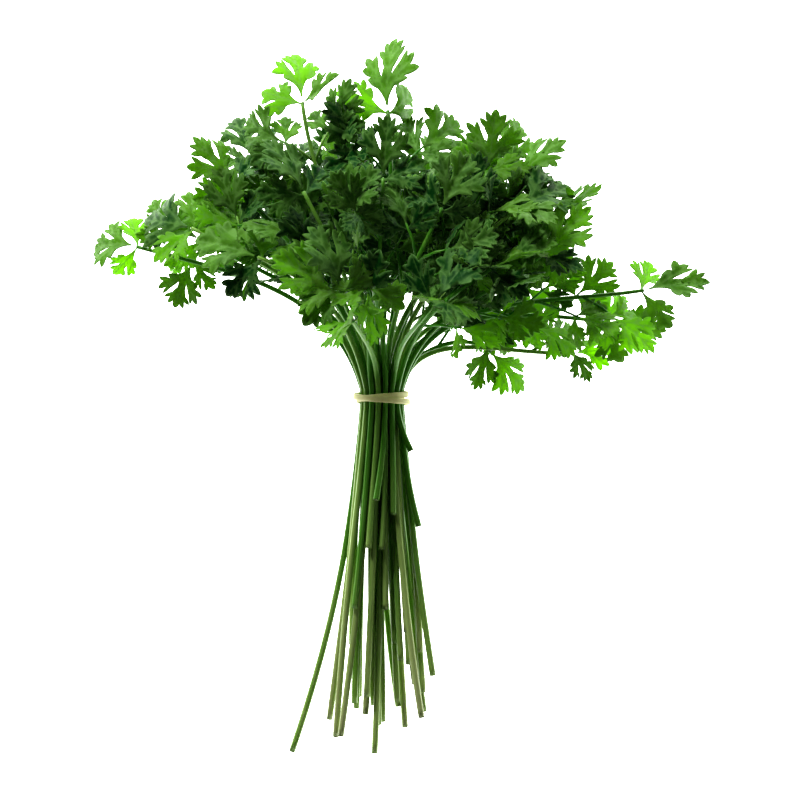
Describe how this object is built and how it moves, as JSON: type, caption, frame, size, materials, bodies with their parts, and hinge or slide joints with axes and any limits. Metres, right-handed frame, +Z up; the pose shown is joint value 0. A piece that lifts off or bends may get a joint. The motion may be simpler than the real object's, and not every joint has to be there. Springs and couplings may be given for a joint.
{
  "type": "bunch of parsley",
  "caption": "Bunch of fresh flat-leaf parsley lying on its side, its long cut stalks gathered by a twice-wound rubber band under a wide spreading crown of lobed leaves.",
  "frame": {"origin": "centre of the underside of the whole bunch, on the surface it lies on", "axes": "+Y along the bunch from the cut ends to the leaf tips, +X to the right across the spread of the leaves, +Z up off the surface"},
  "size_m": [0.2947, 0.3422, 0.1176],
  "materials": {
    "parsley": "soft waxy sheen",
    "band": "matt"
  },
  "bodies": {
    "root": {"sprig_01": "parsley", "sprig_02": "parsley", "sprig_03": "parsley", "sprig_04": "parsley", "sprig_05": "parsley", "sprig_06": "parsley", "sprig_07": "parsley", "sprig_08": "parsley", "sprig_09": "parsley", "sprig_10": "parsley", "sprig_11": "parsley", "sprig_12": "parsley", "sprig_13": "parsley", "sprig_14": "parsley", "sprig_15": "parsley", "sprig_16": "parsley", "sprig_17": "parsley", "sprig_18": "parsley", "sprig_19": "parsley", "sprig_20": "parsley", "sprig_21": "parsley", "sprig_22": "parsley", "sprig_23": "parsley", "sprig_24": "parsley", "sprig_25": "parsley", "sprig_26": "parsley", "sprig_27": "parsley", "sprig_28": "parsley", "sprig_29": "parsley", "sprig_30": "parsley", "sprig_31": "parsley", "sprig_32": "parsley", "sprig_33": "parsley", "sprig_34": "parsley", "sprig_35": "parsley", "sprig_36": "parsley", "sprig_37": "parsley", "rubber_band": "band"}
  },
  "joints": []
}
